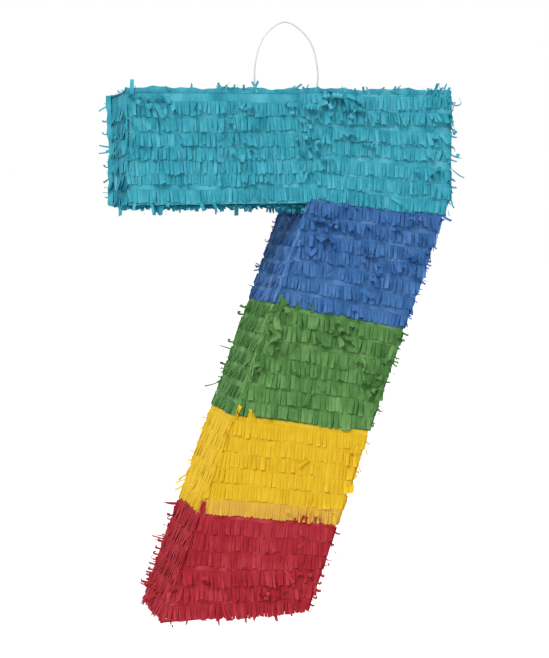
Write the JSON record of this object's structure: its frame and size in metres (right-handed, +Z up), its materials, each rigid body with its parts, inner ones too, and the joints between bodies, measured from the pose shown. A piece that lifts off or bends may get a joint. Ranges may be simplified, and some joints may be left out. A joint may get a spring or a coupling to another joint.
{
  "type": "pinata",
  "caption": "Party pinata shaped like a seven: a hollow card shell under rows of tissue fringe, with a folding wire hanging loop and a fill flap in its back.",
  "frame": {"origin": "the hanging point: the inside of the wire loop at its top", "axes": "+Z up, +X to the right as seen from the front, the front faces -Y"},
  "size_m": [0.3487, 0.0976, 0.6158],
  "materials": {
    "card": "matte",
    "tape": "matte",
    "wire": "satin",
    "tissue_teal": "matte",
    "tissue_blue": "matte",
    "tissue_green": "matte",
    "tissue_yellow": "matte",
    "tissue_red": "matte"
  },
  "bodies": {
    "shell": {"front_panel": "card", "back_panel": "card", "top_wall": "card", "right_end_wall": "card", "leg_outer_wall": "card", "foot_wall": "card", "leg_inner_wall": "card", "bar_underside_wall": "card", "left_end_wall": "card", "anchor_plate": "card", "loop_tail_left": "wire", "loop_tail_right": "wire", "tape_top_left": "tape", "tape_top_right": "tape", "tape_elbow": "tape", "tape_foot_right": "tape", "tape_foot_left": "tape", "tape_crotch": "tape", "tape_bar_low_left": "tape", "teal_front_left": "tissue_teal", "teal_front_right": "tissue_teal", "teal_back": "tissue_teal", "teal_top": "tissue_teal", "teal_left_end": "tissue_teal", "teal_right_end": "tissue_teal", "teal_underside": "tissue_teal", "blue_front": "tissue_blue", "blue_back": "tissue_blue", "blue_outer_side": "tissue_blue", "blue_inner_side": "tissue_blue", "green_front": "tissue_green", "green_back": "tissue_green", "green_outer_side": "tissue_green", "green_inner_side": "tissue_green", "yellow_front": "tissue_yellow", "yellow_back": "tissue_yellow", "yellow_outer_side": "tissue_yellow", "yellow_inner_side": "tissue_yellow", "red_front": "tissue_red", "red_back": "tissue_red", "red_outer_side": "tissue_red", "red_inner_side": "tissue_red", "red_foot": "tissue_red"},
    "hanging_loop": {"hanging_loop": "wire"},
    "fill_flap": {"fill_flap": "card", "teal_flap_cover": "tissue_teal"}
  },
  "joints": [
    {"name": "loop_fold", "type": "hinge", "parent": "shell", "child": "hanging_loop", "pos_m": [0, 0, -0.0726], "axis": [1, 0, 0], "range_deg": [-85, 85]},
    {"name": "flap_fold", "type": "hinge", "parent": "shell", "child": "fill_flap", "pos_m": [0.0787, 0.0447, -0.0981], "axis": [1, 0, 0], "range_deg": [0, 100]}
  ]
}
